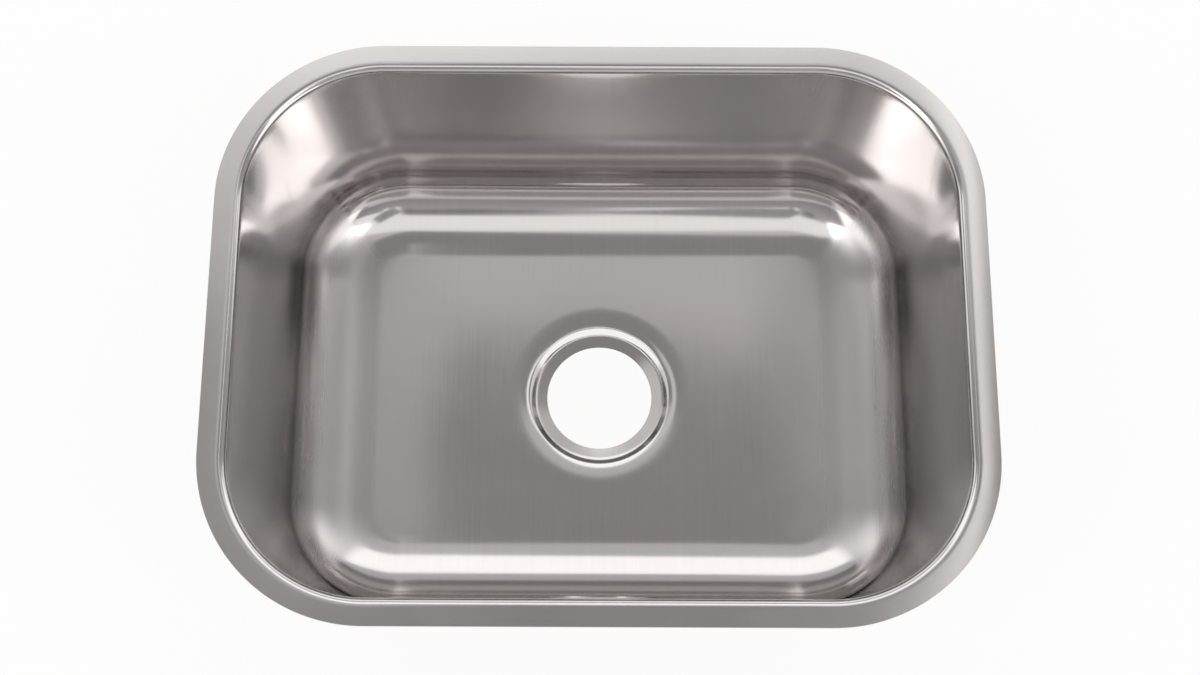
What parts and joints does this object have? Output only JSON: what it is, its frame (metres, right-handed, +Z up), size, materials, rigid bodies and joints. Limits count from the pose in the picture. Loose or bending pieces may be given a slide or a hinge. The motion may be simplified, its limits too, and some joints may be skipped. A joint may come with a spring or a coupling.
{
  "type": "undermount kitchen sink",
  "caption": "Single-bowl undermount kitchen sink, drawn from one steel sheet, with a flat flange, coved floor, recessed round drain hole, sound coat and rubber pads.",
  "frame": {"origin": "middle of the flange's top face, in the plane that meets the underside of the worktop", "axes": "+Z up out of the bowl, +X to the right along the long side, +Y to the rear, towards the wall"},
  "size_m": [0.59, 0.451, 0.2412],
  "materials": {
    "satin_steel": "satin, finely brushed",
    "sound_coat": "sprayed, rough, matt",
    "pad_rubber": "moulded, ribbed, matt"
  },
  "bodies": {
    "root": {"bowl": "satin_steel", "undercoat": "sound_coat", "left_floor_pad": "pad_rubber", "right_floor_pad": "pad_rubber", "front_wall_pad": "pad_rubber", "rear_wall_pad": "pad_rubber", "left_wall_pad": "pad_rubber", "right_wall_pad": "pad_rubber"}
  },
  "joints": []
}
